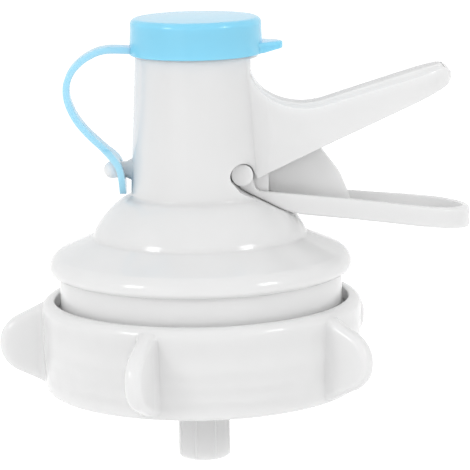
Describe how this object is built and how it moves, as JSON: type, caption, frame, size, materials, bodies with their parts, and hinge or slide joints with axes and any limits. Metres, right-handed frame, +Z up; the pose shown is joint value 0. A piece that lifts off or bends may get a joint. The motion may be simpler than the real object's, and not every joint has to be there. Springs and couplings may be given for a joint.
{
  "type": "water jug spigot",
  "caption": "Squeeze-lever pouring spigot with a tethered slip cap, a fixed finger handle and a loose winged nut that screws on a water jug's neck.",
  "frame": {"origin": "centre of the ring on which the neck gasket seals, on the spout's axis", "axes": "+Z up along the spout, +X from the spout to the lever, +Y away from the picture's camera"},
  "size_m": [0.1, 0.0822, 0.0944],
  "materials": {
    "white_plastic": "glossy white polypropylene",
    "lever_plastic": "glossy white polypropylene",
    "nut_plastic": "glossy white polypropylene",
    "cup_plastic": "glossy white polypropylene",
    "valve_plastic": "matt white plastic",
    "cap_plastic": "light blue soft plastic, a little translucent",
    "strap_plastic": "light blue soft plastic, translucent",
    "seal_rubber": "pale grey rubber",
    "spring_steel": "stainless steel"
  },
  "bodies": {
    "spout": {"spout_body": "white_plastic", "guide_cage": "valve_plastic", "spring_cup": "cup_plastic", "neck_gasket": "seal_rubber", "strap_eyelet": "strap_plastic", "cap_strap": "strap_plastic", "return_spring": "spring_steel"},
    "lever": {"squeeze_lever": "lever_plastic"},
    "plunger": {"push_rod": "valve_plastic", "valve_disc": "valve_plastic", "valve_washer": "seal_rubber", "washer_clip": "spring_steel"},
    "cap": {"spout_cap": "cap_plastic"},
    "nut": {"wing_nut": "nut_plastic"}
  },
  "joints": [
    {"name": "lever_hinge", "type": "hinge", "parent": "spout", "child": "lever", "pos_m": [0.009, 0, 0.0343], "axis": [0, -1, 0], "range_deg": [0, 18], "stiffness_Nm_per_rad": 0.04, "springref_deg": -28.65},
    {"name": "plunger_slide", "type": "slide", "parent": "spout", "child": "plunger", "axis": [0, 0, -1], "range_m": [0, 0.0032], "deforming": ["return_spring"]},
    {"name": "cap_slide", "type": "slide", "parent": "spout", "child": "cap", "axis": [0, 0, 1], "range_m": [0, 0.012], "deforming": ["cap_strap"]},
    {"name": "nut_spin", "type": "hinge", "parent": "spout", "child": "nut", "pos_m": [0, 0, 0], "axis": [0, 0, 1], "continuous": true}
  ],
  "couplings": [
    {"joint": "plunger_slide", "follows": "lever_hinge", "m_per_rad": 0.01}
  ]
}
